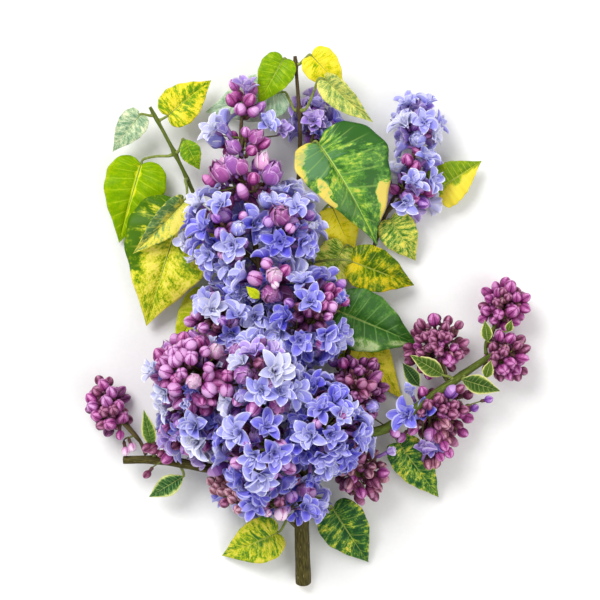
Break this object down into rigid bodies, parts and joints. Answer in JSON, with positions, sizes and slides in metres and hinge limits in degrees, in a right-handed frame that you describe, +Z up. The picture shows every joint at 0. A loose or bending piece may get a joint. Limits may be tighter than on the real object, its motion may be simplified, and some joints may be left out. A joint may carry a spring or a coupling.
{
  "type": "cut lilac branch",
  "caption": "Cut branch of double lilac, lying flat: tall cone of violet-blue florets and mauve buds, side clusters of buds, and heart-shaped leaves marbled green and yellow.",
  "frame": {"origin": "middle of the branch's underside, on the surface that it lies on", "axes": "+Y from the cut end to the tip of the bloom, +X to the longer side branch, +Z up from the surface"},
  "size_m": [0.272, 0.3278, 0.0974],
  "materials": {
    "bark": "olive-brown young bark, matt",
    "green_bark": "green bark of this year, satin",
    "purple_stalk": "purple-green flower stalk, satin",
    "violet_blue_florets": "soft matt petals with paler edges",
    "pale_violet_florets": "soft matt petals, nearly white at the edges",
    "mauve_buds": "smooth closed buds",
    "dusty_rose_buds": "smooth closed buds",
    "green_leaf": "satin leaf, green with pale veins",
    "marbled_leaf": "satin leaf, green marbled with yellow",
    "yellow_leaf_blade": "satin leaf, yellow with green flecks",
    "pale_leaf_blade": "satin leaf, grey-green"
  },
  "bodies": {
    "root": {"main_stem": "bark", "left_branch": "bark", "right_branch": "green_bark", "left_shoot": "green_bark", "right_bud_stalk": "green_bark", "far_bud_stalk": "green_bark", "back_bloom_stalk": "green_bark", "flower_stalk": "purple_stalk", "centre_shoot": "purple_stalk", "right_shoot": "purple_stalk", "left_bud_stalk": "purple_stalk", "bloom_upper_left": "violet_blue_florets", "bloom_upper_right": "violet_blue_florets", "bloom_middle_left": "violet_blue_florets", "bloom_middle_right": "violet_blue_florets", "bloom_lower_centre": "violet_blue_florets", "bloom_lower_right": "violet_blue_florets", "bloom_bottom": "violet_blue_florets", "bloom_second_tier": "pale_violet_florets", "bloom_centre": "pale_violet_florets", "bloom_lower_left": "pale_violet_florets", "side_bloom_upper": "pale_violet_florets", "side_bloom_lower": "pale_violet_florets", "back_bloom": "pale_violet_florets", "bloom_tip": "mauve_buds", "bloom_third_tier": "mauve_buds", "bloom_middle_buds": "mauve_buds", "bloom_left_lobe": "mauve_buds", "right_bud_mass": "dusty_rose_buds", "lower_right_bud_mass": "dusty_rose_buds", "left_bud_mass": "dusty_rose_buds", "near_upper_bud_mass": "dusty_rose_buds", "near_lower_bud_mass": "dusty_rose_buds", "far_upper_bud_mass": "dusty_rose_buds", "far_lower_bud_mass": "dusty_rose_buds", "hero_leaf": "green_leaf", "broad_right_leaf": "green_leaf", "lower_right_leaf": "green_leaf", "marbled_left_leaf": "marbled_leaf", "folded_left_leaf": "marbled_leaf", "marbled_right_leaf": "marbled_leaf", "outer_right_leaf": "marbled_leaf", "right_branch_leaf": "marbled_leaf", "top_left_leaf": "marbled_leaf", "small_left_leaf": "marbled_leaf", "left_bract_upper": "marbled_leaf", "left_bract_lower": "marbled_leaf", "right_bract_upper": "marbled_leaf", "right_bract_lower": "marbled_leaf", "yellow_leaf": "yellow_leaf_blade", "yellow_green_leaf": "yellow_leaf_blade", "yellow_right_leaf": "yellow_leaf_blade", "lower_left_leaf": "yellow_leaf_blade", "back_lit_leaf": "yellow_leaf_blade", "upper_left_leaf": "yellow_leaf_blade", "lower_yellow_leaf": "yellow_leaf_blade", "top_right_leaf": "yellow_leaf_blade", "pale_leaf": "pale_leaf_blade", "arching_leaf": "pale_leaf_blade", "grey_left_leaf": "pale_leaf_blade"}
  },
  "joints": []
}
